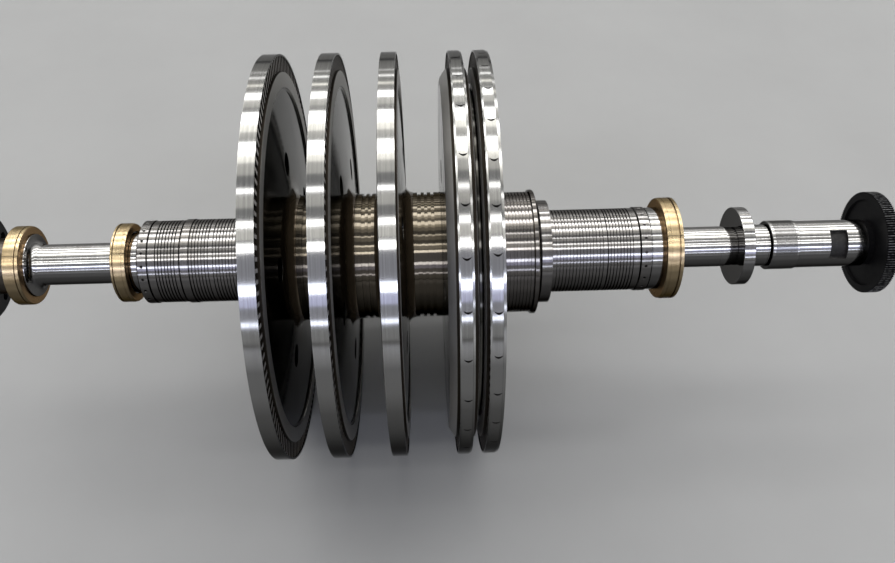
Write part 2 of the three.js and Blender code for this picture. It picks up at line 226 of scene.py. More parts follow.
# %% Sums, ramps and blends
def maths(tree, operation, first, second=0.0):
    """The result of a maths node on two sockets or numbers."""
    made = node(tree, "ShaderNodeMath", {"operation": operation})
    for socket, value in zip(made.inputs, (first, second)):
        if isinstance(value, (int, float)):
            socket.default_value = value
        else:
            tree.links.new(value, socket)
    return made.outputs[0]


def ramp(tree, value, low, high, from_value=0.0, to_value=1.0):
    """Maps a socket from the range low to high onto the range from_value to to_value."""
    made = node(tree, "ShaderNodeMapRange", {"clamp": True},
                {"From Min": low, "From Max": high, "To Min": from_value, "To Max": to_value})
    wire(tree, made, {"Value": value})
    return made.outputs["Result"]


def blend(tree, factor, first, second):
    """Mixes two colours by a factor socket. A colour is a socket or three numbers."""
    made = node(tree, "ShaderNodeMix", {"data_type": "RGBA"})
    tree.links.new(factor, made.inputs["Factor"])
    for name, value in (("A", first), ("B", second)):
        socket = [s for s in made.inputs if s.name == name and s.type == "RGBA"][0]
        if isinstance(value, tuple):
            socket.default_value = (*value, 1.0)
        else:
            tree.links.new(value, socket)
    return [s for s in made.outputs if s.type == "RGBA"][0]


# %% [markdown]
# ## Coordinates for a turned surface
# Tool marks run round the shaft, so a pattern has to change quickly along the outline and slowly round
# it. Object coordinates are in metres, and the shaft line lies along X at a known height. From them the
# shader works out the distance from the line and the direction round it. A noise that reads the place
# along the shaft and the radius at a fine scale, and the direction at a coarse one, becomes rings. A
# noise that reads the object coordinates as they are becomes clouds, for stains and oil.

# %% Rings and clouds
def parts_of(tree, kind):
    """The X, Y and Z sockets of a surface's place or normal in object coordinates."""
    place = node(tree, "ShaderNodeTexCoord")
    split = node(tree, "ShaderNodeSeparateXYZ")
    tree.links.new(place.outputs[kind], split.inputs[0])
    return split.outputs["X"], split.outputs["Y"], split.outputs["Z"]


def shaft_coordinates(tree):
    """Sockets with the place along the shaft, the radius and the two parts of the direction round it."""
    along, across, height = parts_of(tree, "Object")
    above = maths(tree, "SUBTRACT", height, axis_height)
    square = maths(tree, "ADD", maths(tree, "MULTIPLY", across, across),
                   maths(tree, "MULTIPLY", above, above))
    radius = maths(tree, "SQRT", square)
    return along, radius, maths(tree, "DIVIDE", across, radius), maths(tree, "DIVIDE", above, radius)


def noise(tree, vector, scale, detail, roughness):
    """The value of a noise texture that reads a vector socket."""
    settings = {"Scale": scale, "Detail": detail, "Roughness": roughness}
    made = node(tree, "ShaderNodeTexNoise", None, settings)
    wire(tree, made, {"Vector": vector})
    return made.outputs["Fac"]


def ring_noise(tree, shaft, fine, coarse, detail=2.0):
    """A noise of rings: fine cycles a metre along the outline and coarse ones round the shaft."""
    along, radius, cosine, sine = shaft
    outline = maths(tree, "ADD", maths(tree, "MULTIPLY", along, fine),
                    maths(tree, "MULTIPLY", radius, fine * 1.3))
    join = node(tree, "ShaderNodeCombineXYZ")
    wire(tree, join, {"X": outline, "Y": maths(tree, "MULTIPLY", cosine, coarse),
                      "Z": maths(tree, "MULTIPLY", sine, coarse)})
    return noise(tree, join.outputs[0], 1.0, detail, 0.5)


def stain_noise(tree, scale):
    """A cloudy noise on object coordinates, scale cycles a metre, for stains and oil."""
    return noise(tree, node(tree, "ShaderNodeTexCoord").outputs["Object"], scale, 4.0, 0.6)


# %% [markdown]
# ## Grooved metal
# Steel off the lathe is a mirror with fine grooves round it. The grooves smear a reflection along the
# shaft and leave it sharp round it, so lamps show as crisp bars. Anisotropy gives that: its tangent runs
# round the shaft and is turned a quarter, which points the smear across the grooves. A clean metal turns
# white where it is seen edge on. Oil dulls that, so the edge value holds the tint there down.

# %% A metal with grooves
def grooved_metal(tree, colour, rough, smear, edge, bare=None, height=None, depth=0.0):
    """A metal that smears reflections across the grooves round the shaft, wired to the output."""
    metal = node(tree, "ShaderNodeBsdfPrincipled", None,
                 {"Metallic": 1.0, "Anisotropic": smear, "Anisotropic Rotation": 0.25,
                  "Specular Tint": (edge, edge, edge, 1.0)})
    round_shaft = node(tree, "ShaderNodeTangent", {"direction_type": "RADIAL", "axis": "X"})
    wire(tree, metal, {"Base Color": colour, "Roughness": rough, "Tangent": round_shaft.outputs["Tangent"]})
    if bare:
        wire(tree, metal, {"Metallic": bare})
    if height:
        bump = node(tree, "ShaderNodeBump", None, {"Strength": 1.0, "Distance": depth})
        wire(tree, bump, {"Height": height})
        wire(tree, metal, {"Normal": bump.outputs["Normal"]})
    to_output(tree, metal)


# %% [markdown]
# ## Turned steel
# The colour changes a little in thin rings and in clouds of old oil. The lower half is painted darker, a
# painted shade that stands for the dark floor it mirrors. The shade comes in two steps, a lighter one
# partway down and a darker one below it. The end faces and the walls of the grooves, which face along the
# shaft, get a painted shade too. They come last, so that the shade of the lower half doesn't darken them
# again.

# %% Turned steel finishes
# Where the two steps of the painted shade on the lower half fade in, as the sine of the angle up from the
# front.
painted_shade_starts = (0.3, 0.44)
painted_shade_deepens = (0.06, 0.18)
stain_to = 0.8
worn_fade = 0.0015


def facing_along(tree):
    """How far a surface faces along the shaft, from 0 on a cylinder to 1 on an end face."""
    return ramp(tree, maths(tree, "ABSOLUTE", parts_of(tree, "Normal")[0]), 0.6, 0.9)


def dimmed(colour, share):
    """A colour with each part multiplied by a share."""
    return tuple(part * share for part in colour)


def turned_steel(name, colour, stain, roughness, lower_shade_share, end_shade=0.2, end_shade_colour=None, stain_from=0.5,
                 waves=0.00001, worn=None, smear=0.8):
    """A grooved metal with rings, stains, painted shade on its end faces and painted shade on its lower
    half.
    """
    finish, tree = new_finish(name)
    shaft = shaft_coordinates(tree)
    along, height = shaft[0], shaft[3]
    rings = ring_noise(tree, shaft, 330.0, 1.2)
    swell = ring_noise(tree, shaft, 45.0, 5.0, 1.0)
    clouds = stain_noise(tree, 9.0)
    tone = blend(tree, ramp(tree, rings, 0.35, 0.65), dimmed(colour, 0.84), colour)
    tone = blend(tree, ramp(tree, clouds, stain_from, stain_to), tone, stain)
    rough = ramp(tree, clouds, stain_from, stain_to, roughness, roughness + 0.07)
    if worn:
        entering = ramp(tree, along, worn[0], worn[0] + worn_fade)
        leaving = ramp(tree, along, worn[1] - worn_fade, worn[1], 1.0, 0.0)
        inside = maths(tree, "MULTIPLY", entering, leaving)
        tone = blend(tree, inside, tone, dimmed(colour, 0.45))
        rough = maths(tree, "ADD", rough, maths(tree, "MULTIPLY", inside, 0.1))
    # Painted shade on the lower half, in two steps, standing for the dark floor that it mirrors.
    if lower_shade_share < 1:
        for share, (low, high) in ((lower_shade_share, painted_shade_starts), (lower_shade_share * 0.65, painted_shade_deepens)):
            tone = blend(tree, ramp(tree, height, low, high), dimmed(colour, share), tone)
    # Painted shade on the end faces and groove walls, the faces that face along the shaft.
    tone = blend(tree, facing_along(tree), tone, end_shade_colour or dimmed(colour, end_shade))
    grooved_metal(tree, tone, rough, smear, 0.3, height=swell, depth=waves)
    return finish


# %% [markdown]
# ## Steel and bronze
# One call makes each finish: the clean colour, the colour of its stains, how rough it is, and how much of
# the colour the painted shade leaves on the lower half. A share of 1 leaves the lower half as bright as the
# top. The journals are the cleanest, and the sleeves between the wheels are brown with oil.

# %% Steel and bronze
journal_steel = turned_steel("journal_steel", (0.62, 0.61, 0.6), (0.42, 0.4, 0.38), 0.08, lower_shade_share=0.2,
                             end_shade=0.3, waves=0.00003, smear=0.3)
sleeve_steel = turned_steel("sleeve_steel", (0.6, 0.59, 0.58), (0.45, 0.43, 0.41), 0.08, lower_shade_share=0.2,
                            waves=0.00002, worn=(0.6995, 0.7445), smear=0.3)
band_steel = turned_steel("band_steel", (0.64, 0.635, 0.62), (0.5, 0.49, 0.47), 0.12, lower_shade_share=0.32, end_shade=0.5)
gland_steel = turned_steel("gland_steel", (0.4, 0.385, 0.375), (0.26, 0.24, 0.22), 0.13, lower_shade_share=0.28,
                           end_shade=0.12)
drum_steel = turned_steel("drum_steel", (0.3, 0.28, 0.265), (0.18, 0.165, 0.15), 0.12, lower_shade_share=0.28)
oiled_steel = turned_steel("oiled_steel", (0.18, 0.155, 0.12), (0.09, 0.075, 0.05), 0.1, lower_shade_share=0.3)
blade_steel = turned_steel("blade_steel", (0.66, 0.64, 0.62), (0.4, 0.38, 0.36), 0.4, lower_shade_share=1, end_shade=1)
# Painted shade for the blade flanks in the channels between the blades.
channel_shade = turned_steel("blade_channel_painted_shade", (0.05, 0.04, 0.03), (0.02, 0.017, 0.014), 0.3, lower_shade_share=1,
                           end_shade=1)
bronze = turned_steel("slinger_bronze", (0.74, 0.58, 0.35), (0.5, 0.35, 0.18), 0.27, lower_shade_share=0.3,
                      end_shade_colour=(0.32, 0.22, 0.13), stain_from=0.45)
hub_steel = turned_steel("hub_steel", (0.16, 0.14, 0.12), (0.1, 0.085, 0.07), 0.3, lower_shade_share=0.6)
print("turned finishes", len(bpy.data.materials))

# %% [markdown]
# ## Black finishes
# The coupling and the toothed wheel are blackened steel, which is dull and gives back very little light.
# The painted shade in the pockets of the band locks and on the floor of the sleeve's window is nearly black
# as well. One function makes them all, with small lighter flecks in each. The tips of the teeth are rubbed
# bright, so a radius can be given beyond which bare metal shows through.

# %% Black finishes
def blackened(name, colour, fleck, roughness, shine, rubbed_from=None):
    """A dull black with small lighter flecks, and a rim rubbed bright beyond a radius."""
    finish, tree = new_finish(name)
    flecks = stain_noise(tree, 160.0)
    clouds = stain_noise(tree, 15.0)
    tone = blend(tree, ramp(tree, flecks, 0.5, 0.75), colour, fleck)
    rough = ramp(tree, clouds, 0.3, 0.7, roughness - 0.05, roughness + 0.1)
    black = node(tree, "ShaderNodeBsdfPrincipled", None, {"Specular IOR Level": shine})
    if rubbed_from:
        radius = shaft_coordinates(tree)[1]
        rubbed = maths(tree, "MULTIPLY", ramp(tree, radius, rubbed_from, rubbed_from + 0.0005),
                       ramp(tree, flecks, 0.4, 0.6))
        tone = blend(tree, rubbed, tone, (0.12, 0.12, 0.12))
        wire(tree, black, {"Metallic": rubbed})
    wire(tree, black, {"Base Color": tone, "Roughness": rough})
    to_output(tree, black)
    return finish


black_oxide = blackened("black_oxide", (0.005, 0.005, 0.0055), (0.01, 0.0095, 0.009), 0.45, 0.1)
toothed_black = blackened("toothed_rim_black", (0.004, 0.004, 0.0045), (0.008, 0.0075, 0.007), 0.45, 0.05,
                          rubbed_from=0.1028)
# Painted shade for the floor and walls of the sleeve's window.
window_painted_shade = blackened("window_painted_shade", (0.015, 0.014, 0.014), (0.04, 0.038, 0.036), 0.5, 0.3)
# Painted shade for the floor and walls of the pockets in the bands.
pocket_shade = blackened("pocket_painted_shade", (0.006, 0.005, 0.005), (0.016, 0.013, 0.011), 0.6, 0.1)
print("finishes", len(bpy.data.materials))

# %% [markdown]
# ## Wheel faces
# The web of a wheel is ground so smooth that it mirrors its neighbours, with a film of dark oil over it.
# Near the hub the oil has dried to a brown coat, and a coat isn't bare metal, so the metallic value falls
# there. The rim that holds the blades is wiped clean and looks light, and the floor of the channels between
# the blades is painted dark, a painted shade. All four are one surface, so one material reads the radius
# and fades between them.

# %% Wheel finish
web_edge = 0.338
hub_edge = 0.150
blade_root = span("wheel_1")[2] * MM
web_colours = (0.09, 0.087, 0.08), (0.05, 0.048, 0.042)
web_ring_colour = (0.1, 0.096, 0.09)
hub_colours = (0.11, 0.083, 0.052), (0.075, 0.055, 0.034)
rim_colour = (0.58, 0.57, 0.55)
# The colour of the painted shade in the blade channels.
channel_shade_colour = (0.03, 0.025, 0.02)


def wheel_finish():
    """Brown oily hub, dark mirror web and clean rim, told apart by the radius."""
    finish, tree = new_finish("wheel_steel")
    shaft = shaft_coordinates(tree)
    radius = shaft[1]
    rings = ring_noise(tree, shaft, 250.0, 1.2)
    clouds = stain_noise(tree, 8.0)
    rim_fade = (web_edge - 0.003, web_edge + 0.002)
    web = blend(tree, ramp(tree, clouds, 0.4, 0.7), *web_colours)
    web = blend(tree, ramp(tree, rings, 0.5, 0.8, 0.0, 0.3), web, web_ring_colour)
    hub = blend(tree, ramp(tree, clouds, 0.4, 0.65), *hub_colours)
    colour = blend(tree, ramp(tree, radius, hub_edge - 0.006, hub_edge + 0.03), hub, web)
    colour = blend(tree, ramp(tree, radius, *rim_fade), colour, rim_colour)
    # Painted shade on the floor of the channels between the blades.
    channel_shade_mask = ramp(tree, radius, blade_root - 0.0012, blade_root - 0.0004)
    colour = blend(tree, channel_shade_mask, colour, channel_shade_colour)
    rough = maths(tree, "ADD", ramp(tree, radius, *rim_fade, 0.08, 0.38),
                  ramp(tree, clouds, 0.45, 0.75, 0.0, 0.08))
    bare = ramp(tree, radius, hub_edge - 0.012, hub_edge + 0.012, 0.4, 1.0)
    grooved_metal(tree, colour, rough, 0.5, 0.5, bare)
    return finish


wheel_steel = wheel_finish()
print("web of the wheels from radius", hub_edge, "to", web_edge)

# %% [markdown]
# ## Shaft
# The shaft is one forging. What shows of it are the two mirror-bright journals that run in the bearings,
# the throat beside the left seals, the plain land before the right oil ring and the slim neck at the front
# end. It is one outline from the coupling to the toothed wheel, with a drilled centre in each end that
# the lathe held it by.

# %% Shaft
journal = 41.0
body = 66.0
seat = 63.0
throat = 60.0
shoulder = 59.0
neck = 37.0
stub = 36.0
tip = 28.0
land = 83.4
large_seat = 82.4
land_step = 80.0
coupling_seat = 45.7
step_after_journal = 39.0
outer_shoulder_x = -780.4
left_journal_x, left_journal_end_x = -764.0, -622.0
throat_x = -584.0
right_land_x = 443.0
right_journal_x, right_journal_end_x = 516.0, 606.5
scribed_x, scribed_width, scribed_depth = 592.5, 0.8, 0.4
neck_x = 622.5
outer_slinger = span("left_outer_oil_slinger")
inner_slinger = span("left_inner_oil_slinger")
left_ring = span("left_balance_ring")
right_ring = span("right_balance_ring")
right_slinger = span("right_oil_slinger")
coupling = span("coupling_flange")
front_sleeve = span("front_sleeve")
toothed = span("toothed_wheel")
shaft_left, shaft_right, _ = span("shaft")

# %% [markdown]
# ## Shaft outline
# The outline runs through those places from left to right. A step of the shaft stands a hair off the ring
# beside it, because two faces in one plane would flicker. The journals end in hollow corners.

# %% Shaft outline
clearance = 0.3


def drilled_centre(end, inward):
    """The cone that a lathe centre fits, drilled into a shaft end. It starts on the shaft line."""
    return [(end + inward * 14, 0), (end + inward * 7, 4), (end, 9)]


def groove(left, right, radius, depth):
    """Points of one square groove between two places."""
    return [(left, radius), (left, radius - depth), (right, radius - depth), (right, radius)]


outline = drilled_centre(shaft_left, 1)
outline += [(shaft_left, 44), (shaft_left + 2, coupling_seat), (coupling[1] + clearance, coupling_seat)]
outline += [(coupling[1] + clearance, seat), (outer_shoulder_x - 2.1, seat)]
outline += [(outer_shoulder_x - 0.6, seat - 0.5)]
outline += hollow((outer_shoulder_x, seat - 2), (left_journal_x, journal), False)
outline += hollow((left_journal_end_x, journal), (inner_slinger[0], shoulder), True)
outline += [(inner_slinger[0], seat), (throat_x, seat), (throat_x, throat)]
outline += [(left_ring[0] - clearance, throat), (left_ring[0] - clearance, body)]
outline += [(right_ring[1] + clearance, body), (right_ring[1] + clearance, land_step)]
outline += [(right_land_x, land_step), (right_land_x, land), (right_slinger[0] - clearance, land)]
outline += [(right_slinger[0] - clearance, large_seat), (right_slinger[1] - 3, large_seat)]
outline += hollow((right_slinger[1] - 2, shoulder), (right_journal_x, journal), False)
outline += groove(scribed_x, scribed_x + scribed_width, journal, scribed_depth)
outline += [(right_journal_end_x, journal), (right_journal_end_x, step_after_journal)]
outline += [(neck_x, step_after_journal), (neck_x, neck), (front_sleeve[1], neck), (front_sleeve[1], stub)]
outline += [(toothed[1] + clearance, stub), (toothed[1] + clearance, tip)]
outline += [(shaft_right - 1, tip), (shaft_right, tip - 1)]
outline += list(reversed(drilled_centre(shaft_right, -1)))
turned_piece("shaft", "shaft_forging", outline, journal_steel, 144, 0.5)

# %% [markdown]
# ## Oil slingers
# Beside each journal a bronze ring throws the oil off, so that it doesn't creep along the shaft. Each
# ring has a wide land, one deep groove and a narrow land, with rounded edges that glow in the light.
# The rings are split in two halves so that they can be changed, and the joint shows as a hair line. A
# half ring is spun a little less than half a turn, its two ends are filled, and it is copied round.

# %% Half rings
def only(kind, items):
    """The points or edges among the items that a bmesh operator gives back."""
    return [item for item in items if isinstance(item, kind)]


def half_ring_pair(outline, joint, opening, sides=64):
    """Two half rings with a narrow opening between them. The joint angle is measured up from the front."""
    bm = bmesh.new()
    points = [bm.verts.new((x, 0, radius)) for x, radius in outline]
    edges = [bm.edges.new(pair) for pair in zip(points, points[1:] + points[:1])]
    bmesh.ops.rotate(bm, verts=points, cent=(0, 0, 0),
                     matrix=Matrix.Rotation(math.radians(90 - joint + opening / 2), 3, "X"))
    start = list(edges)
    swept = bmesh.ops.spin(bm, geom=points + edges, cent=(0, 0, 0), axis=(1, 0, 0), dvec=(0, 0, 0),
                           angle=math.pi - math.radians(opening), steps=sides)
    bmesh.ops.contextual_create(bm, geom=start)
    bmesh.ops.contextual_create(bm, geom=only(bmesh.types.BMEdge, swept["geom_last"]))
    copy = bmesh.ops.duplicate(bm, geom=bm.verts[:] + bm.edges[:] + bm.faces[:])
    bmesh.ops.rotate(bm, verts=only(bmesh.types.BMVert, copy["geom"]), cent=(0, 0, 0),
                     matrix=Matrix.Rotation(math.pi, 3, "X"))
    bmesh.ops.recalc_face_normals(bm, faces=bm.faces)
    return bm


# %% [markdown]
# ## Slinger outlines
# The three rings differ in where the groove lies. Each has one face that rolls over gently and one with a
# small chamfer, and two of them have a fine scribed line as well. Here and on every ring after these,
# the bore stands a hair off its seat.

# %% Slingers
fit = 0.2
slinger_joint = 58.0
slinger_opening = 0.5
oil_groove = 4.0
scribed_line = 0.8


def soft_corner(x, face_x, radius):
    """Points that roll gently from a land at x over to an end face, with the tight part at the end."""
    reach = face_x - x
    return [(x, radius), (x + reach * 0.5, radius - 0.6), (x + reach * 0.8, radius - 1.7),
            (x + reach * 0.95, radius - 3.4), (face_x, radius - 5.5)]


left, right, radius = outer_slinger
outer_outline = [(left, seat + fit), (left, radius - 1.8), (left + 0.5, radius - 0.5), (left + 1.8, radius)]
outer_outline += groove(-793.2, -791.3, radius, oil_groove) + soft_corner(-790.5, right, radius - 0.2)
outer_outline += [(right, seat + fit)]
left, right, radius = inner_slinger
inner_outline = [(left, seat + fit), (left, radius - 1.8), (left + 1.2, radius)]
inner_outline += groove(-605.8, -603.6, radius, oil_groove) + groove(-588.6, -587.9, radius, scribed_line)
inner_outline += soft_corner(-587.5, right, radius - 0.2) + [(right, seat + fit)]
left, right, radius = right_slinger
large_outline = [(left, large_seat + fit)] + list(reversed(soft_corner(474.2, left, radius - 0.2)))
large_outline += groove(474.6, 475.3, radius, scribed_line) + groove(489.7, 493.0, radius, oil_groove)
large_outline += [(right - 2.2, radius), (right - 0.7, radius - 0.6), (right, radius - 2.2)]
large_outline += [(right, large_seat + fit)]
for name, outline in (("left_outer_oil_slinger", outer_outline), ("left_inner_oil_slinger", inner_outline),
                      ("right_oil_slinger", large_outline)):
    ring = half_ring_pair(outline, slinger_joint, slinger_opening)
    break_edges(ring, 0.2)
    finished(ring, name + "_ring", [bronze], [name])

# %% [markdown]
# ## Sealing lands
# Each gland sleeve has a row of square lands with narrow grooves between them. Steam that leaks past
# them loses pressure in every groove. Lands could be copies of one ring, but one outline that steps up
# and down turns them all in one sweep and keeps the skin closed. The places of the grooves are read off
# the photograph, so a few lands are wider than the others.

# %% Rows of grooves
groove_width, groove_depth = 2.6, 3.0
joint_depth = 4.5


def grooves(centres, radius):
    """The points of a row of equal grooves."""
    half = groove_width / 2
    return [point for x in centres for point in groove(x - half, x + half, radius, groove_depth)]


def row(first, pitch, count):
    """Equally spaced places along the shaft, or angles round it."""
    return [first + pitch * i for i in range(count)]


def sleeve(node_name, name, outline, finish=gland_steel):
    """Closes an outline along the sleeve's bore and turns it."""
    bore = body + fit
    outline = [(outline[0][0], bore)] + outline + [(outline[-1][0], bore)]
    turned_piece(node_name, name, outline, finish)


# %% [markdown]
# ## Gland sleeves
# Two sleeves seal each end of the rotor, and a low joint shows where they meet. Where the lands are
# evenly spaced, a row of places takes the first one, the pitch and the count.

# %% Gland sleeves at the shaft ends
left, right, radius = span("left_outer_gland_sleeve")
outline = [(left, radius - 3.5), (-536, radius - 3.5), (-536, radius)]
outline += grooves((-522, -516, -510, -503.8, -497.8, -491.5, -485.5), radius)
outline += [(-477.5, radius), (-477.5, radius - joint_depth), (right, radius - joint_depth)]
sleeve("left_outer_gland_sleeve", "left_outer_gland", outline)

left, right, radius = span("left_inner_gland_sleeve")
outline = [(left, radius - 6), (-473.5, radius - 6), (-473.5, radius), (-459, radius)]
outline += [(-459, land - groove_depth), (-456.7, land - groove_depth), (-456.7, land)]
outline += grooves(row(-451.7, 6.24, 6) + row(-411, 6.2, 14), land) + [(right, land)]
sleeve("left_inner_gland_sleeve", "left_inner_gland", outline)

left, right, radius = span("right_inner_gland_sleeve")
outline = [(left, radius)] + grooves(row(254, 6.55, 15), radius)
outline += [(353.8, radius), (353.8, radius - joint_depth), (right, radius - joint_depth)]
sleeve("right_inner_gland_sleeve", "right_inner_gland", outline)

left, right, radius = span("right_outer_gland_sleeve")
outline = [(left, radius - joint_depth), (356.5, radius - joint_depth), (356.5, radius)]
outline += grooves(row(360.5, 6.3, 8), radius) + [(418.2, radius), (418.2, radius - 3), (right, radius - 3)]
sleeve("right_outer_gland_sleeve", "right_outer_gland", outline)

# %% [markdown]
# ## High and low lands
# Between the wheels the sleeves are stepped like a castle wall: a high land, a low land, and so on. The
# fins of the casing reach down to both, so the steam has to climb over every step. A lamp shows on the
# high lands a little above where it shows on the low ones, which gives the wavy bars of the photograph.

# %% Interstage glands, drum and collar
step_height = 3.6


def castle(left, edges, right, radius):
    """High and low lands in turn with a thin cut at the foot of each step, from high to high."""
    outline = [(left, radius)]
    low = radius - step_height
    for number, x in enumerate(edges):
        step = [(x, radius), (x, low - 1), (x + 1, low - 1), (x + 1, low)]
        goes_up = number % 2 == 1
        outline += [(2 * x - place, level) for place, level in reversed(step)] if goes_up else step
    return outline + [(right, radius)]


for name, edges in (("interstage_gland_1", (-234, -227.5, -221.5, -215.5)),
                    ("interstage_gland_2", (-122.5, -115, -109.5, -103.5)),
                    ("interstage_gland_3", (-14.5, -7.2, -1, 5, 12, 18))):
    left, right, radius = span(name)
    sleeve(name, name + "_lands", castle(left, edges, right, radius), oiled_steel)

left, right, radius = span("right_gland_drum")
drum_tip = 122.0
outline = [(left, drum_tip)] + grooves((152, 159, 166.3, 172.7, 179.3, 185.7, 192.7, 199.2), drum_tip)
outline += [(205.4, drum_tip), (205.4, drum_tip - 4), (207.4, drum_tip - 4), (207.4, radius - 1)]
outline += [(208.4, radius), (right - 1.5, radius), (right, radius - 1.5)]
sleeve("right_gland_drum", "right_drum_lands", outline, drum_steel)

left, right, radius = span("right_collar")
collar_x, collar_neck = 220.7, 96.0
outline = [(left, collar_neck), (collar_x, collar_neck)]
outline += list(reversed(hollow((225, radius), (collar_x, radius - 4), True, 6)))
outline += [(right - 0.6, radius), (right, radius - 0.6)]
sleeve("right_collar", "right_collar_ring", outline)

# %% [markdown]
# ## Drilling a turned skin
# Holes could be cut with a Boolean modifier, but that leaves long thin triangles on a mirror finish. Here
# the faces round the hole are taken out, a circle is laid in the gap and the two loops are bridged. The
# circle gets as many points as the gap has, so the bridge is made of neat four-sided faces.

# %% Laying a circle into the skin
def round_opening(bm, centre, outward, radius, reach, face_x=None):
    """Puts a ring of faces round a circle in place of the faces near its centre; returns its edges."""
    patch = [f for f in bm.faces
             if (f.calc_center_median() - centre).length < reach and f.normal.dot(outward) > 0.7]
    inside = set(patch)
    # A dictionary holds each edge once and in order. The order of a set would change from run to run.
    around = dict.fromkeys(e for f in patch for e in f.edges)
    border = [e for e in around if sum(f in inside for f in e.link_faces) == 1]
    bmesh.ops.delete(bm, geom=patch, context="FACES")
    turn = outward.to_track_quat("Z", "Y").to_matrix().to_4x4()
    circle = bmesh.ops.create_circle(bm, cap_ends=False, radius=radius, segments=len(border),
                                     matrix=Matrix.Translation(centre) @ turn)
    if face_x:
        for point in circle["verts"]:
            point.co.x = face_x(math.hypot(point.co.y, point.co.z))
    rim = list(dict.fromkeys(e for v in circle["verts"] for e in v.link_edges))
    bmesh.ops.bridge_loops(bm, edges=border + rim)
    return rim


def blind_hole(bm, centre, outward, radius, reach, depth):
    """Drills a closed hole with a funnel mouth: the circle is pulled in twice and its floor is filled."""
    edges = round_opening(bm, centre, outward, radius, reach)
    for step, shrink in ((0.6, 0.82), (depth, 1.0)):
        pulled = bmesh.ops.extrude_edge_only(bm, edges=edges)["geom"]
        points, edges = only(bmesh.types.BMVert, pulled), only(bmesh.types.BMEdge, pulled)
        bmesh.ops.scale(bm, vec=(shrink, shrink, shrink), verts=points, space=Matrix.Translation(-centre))
        bmesh.ops.translate(bm, vec=outward * -step, verts=points)
    bmesh.ops.contextual_create(bm, geom=edges)


def round_the_shaft(x, radius, degrees):
    """The point at a place, radius and angle. The angle is measured up from the front."""
    angle = math.radians(degrees)
    return Vector((x, -radius * math.cos(angle), radius * math.sin(angle)))


# %% [markdown]
# ## Balance rings
# At each end of the seals a plain ring has a circle of small radial holes. A balancing weight is screwed
# into one of them where the rotor runs heavy. The ring is turned with a band of small faces in its
# middle, and the holes are drilled into that band. Each hole has a little funnel at its mouth, which
# keeps a spark of light.

# %% Balance rings
weight_hole, weight_hole_depth, grid_reach = 3.0, 7, 4.6
for name, hole_x, holes, first, extra in (("left_balance_ring", 10.4, 20, 38.7, 0.0),
                                          ("right_balance_ring", 11.2, 19, 39.9, 0.5)):
    left, right, radius = span(name)
    centre_x = left + hole_x
    bore = body + fit
    outline = [(left, bore), (left, radius - 3 - extra), (left + 1.5, radius - 1), (left + 2.5, radius)]
    outline += straight((centre_x - 5, radius), (centre_x + 5, radius), 5)
    outline += [(centre_x + 5, radius), (right - 1.4, radius), (right - 1, radius - 0.4)]
    outline += [(right - 1, radius - 4), (right, radius - 4), (right, bore)]
    ring = turned(outline, 12 * holes)
    for degrees in row(first, 360 / holes, holes):
        outward = round_the_shaft(0, 1, degrees)
        centre = Vector((centre_x, 0, 0)) + outward * radius
        blind_hole(ring, centre, outward, weight_hole, grid_reach, weight_hole_depth)
    break_edges(ring, 0.2)
    finished(ring, name + "_drilled", [gland_steel], [name])

# %% [markdown]
# ## Wheels
# A wheel is thin between its hub and its rim, so the same outline serves both of its sides when it is
# mirrored. Five steam balance holes go through the web: each is opened on both faces and the two
# circles are bridged to make the wall. Their points are set onto the sloping face first, so the mirror
# finish stays even round the hole.

# %% Wheel outline and balance holes
hole_circle, hole_radius, hole_count = 198.0, 23.0, 5
hole_reach = 33
rim_half, rim_depth = 17.0, 30
web_half_rim, web_half_hub, web_corner, web_foot = 13.0, 22.0, 4, 142.0
hub_half, drum = 37.0, 127.0


def on_line(line, radius):
    """The x of a straight web face at a radius."""
    (x0, r0), (x1, r1) = line
    return x0 + (x1 - x0) * (radius - r0) / (r1 - r0)


def wheel_outline(middle, rim_radius, web):
    """The outline of a wheel with the same right and left side, round the line of its web face."""
    rim_foot = rim_radius - rim_depth
    side = [(0, rim_radius), (rim_half - 1, rim_radius), (rim_half, rim_radius - 1), (rim_half, rim_foot)]
    side += hollow((rim_half, rim_foot), web[0], True, 4)[1:]
    side += straight(*web, 14)[1:]
    side += hollow(web[1], (hub_half, drum), False, 10) + [(hub_half, body + fit)]
    right = [(middle + x, radius) for x, radius in side]
    left = [(middle - x, radius) for x, radius in side[1:]]
    return right + list(reversed(left))


def drill_wheel(bm, faces, first):
    """Opens the balance holes through both faces. Each face is (outward sign, its x at a radius)."""
    for degrees in row(first, 360 / hole_count, hole_count):
        rims = []
        for sign, face_x in faces:
            centre = round_the_shaft(face_x(hole_circle), hole_circle, degrees)
            rims += round_opening(bm, centre, Vector((sign, 0, 0)), hole_radius, hole_reach, face_x)
        bmesh.ops.bridge_loops(bm, edges=rims)


# %% [markdown]
# ## Single-row wheels
# The three wheels with one blade row are alike. Only their balance holes start at different angles, which
# are read off the photograph.

# %% Single-row wheels
for index, first in enumerate((111, 157, 131), start=1):
    left, right, rim_radius = span("wheel_%d" % index)
    middle = (left + right) / 2
    web = ((web_half_rim, rim_radius - rim_depth - web_corner), (web_half_hub, web_foot + web_corner))
    wheel = turned(wheel_outline(middle, rim_radius, web), 180)
    faces = ((1, lambda r: middle + on_line(web, r)), (-1, lambda r: middle - on_line(web, r)))
    drill_wheel(wheel, faces, first)
    break_edges(wheel, 0.4)
    finished(wheel, "wheel_%d_disc" % index, [wheel_steel], ["wheel_%d" % index])

# %% [markdown]
# ## Control wheel
# The first stage that the steam meets is wider and carries two rows of blades on one wheel, with a deep
# groove between its two rims. Its left face leans in a cone up to the rim. The outline differs on the
# two sides, so it is drawn as one run from left to right, and the web faces get extra rings where the
# holes go.

